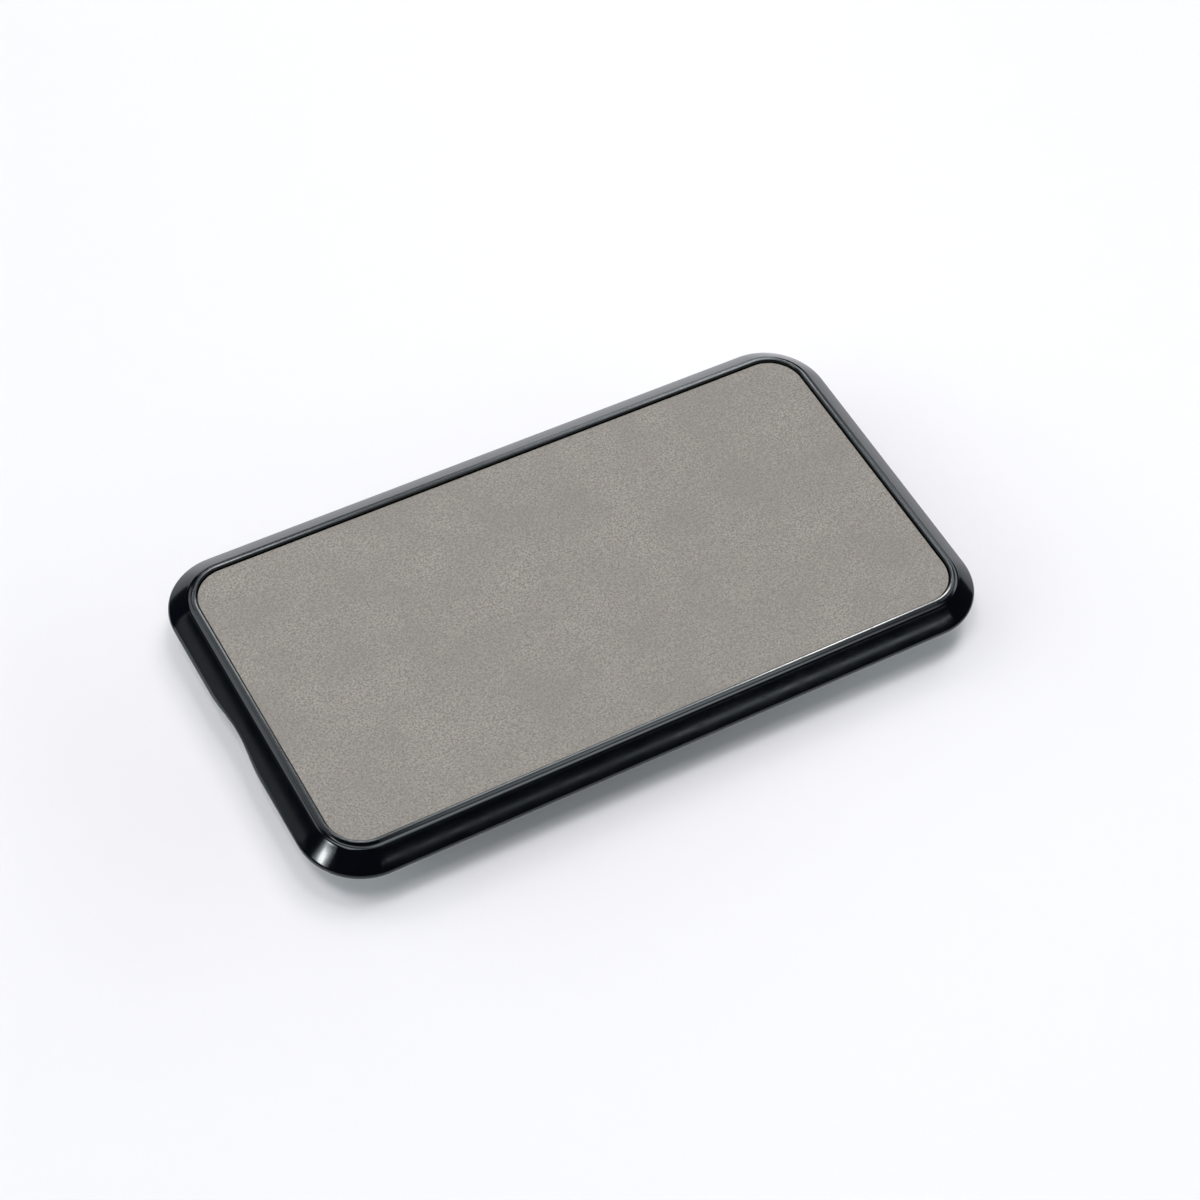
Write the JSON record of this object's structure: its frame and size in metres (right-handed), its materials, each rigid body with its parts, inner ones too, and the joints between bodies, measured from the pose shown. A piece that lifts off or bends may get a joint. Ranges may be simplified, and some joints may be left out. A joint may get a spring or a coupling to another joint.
{
  "type": "name badge",
  "caption": "Rectangular name badge with a glossy black moulded frame, a bare grey leatherette face and a plain fastener bar on the back.",
  "frame": {"origin": "centre of the flat underside of the fastener bar, on which the badge lies", "axes": "+X along the badge to the reader's right, +Y up the badge's face, +Z out of its face"},
  "size_m": [0.0826, 0.0444, 0.0075],
  "materials": {
    "frame_plastic": "glossy black moulded plastic with fine handling scratches",
    "insert_leatherette": "matt warm grey leatherette with a fine pebbled grain and faint mottling",
    "fastener_plastic": "satin black moulded plastic"
  },
  "bodies": {
    "root": {"frame": "frame_plastic", "insert": "insert_leatherette", "fastener": "fastener_plastic"}
  },
  "joints": []
}
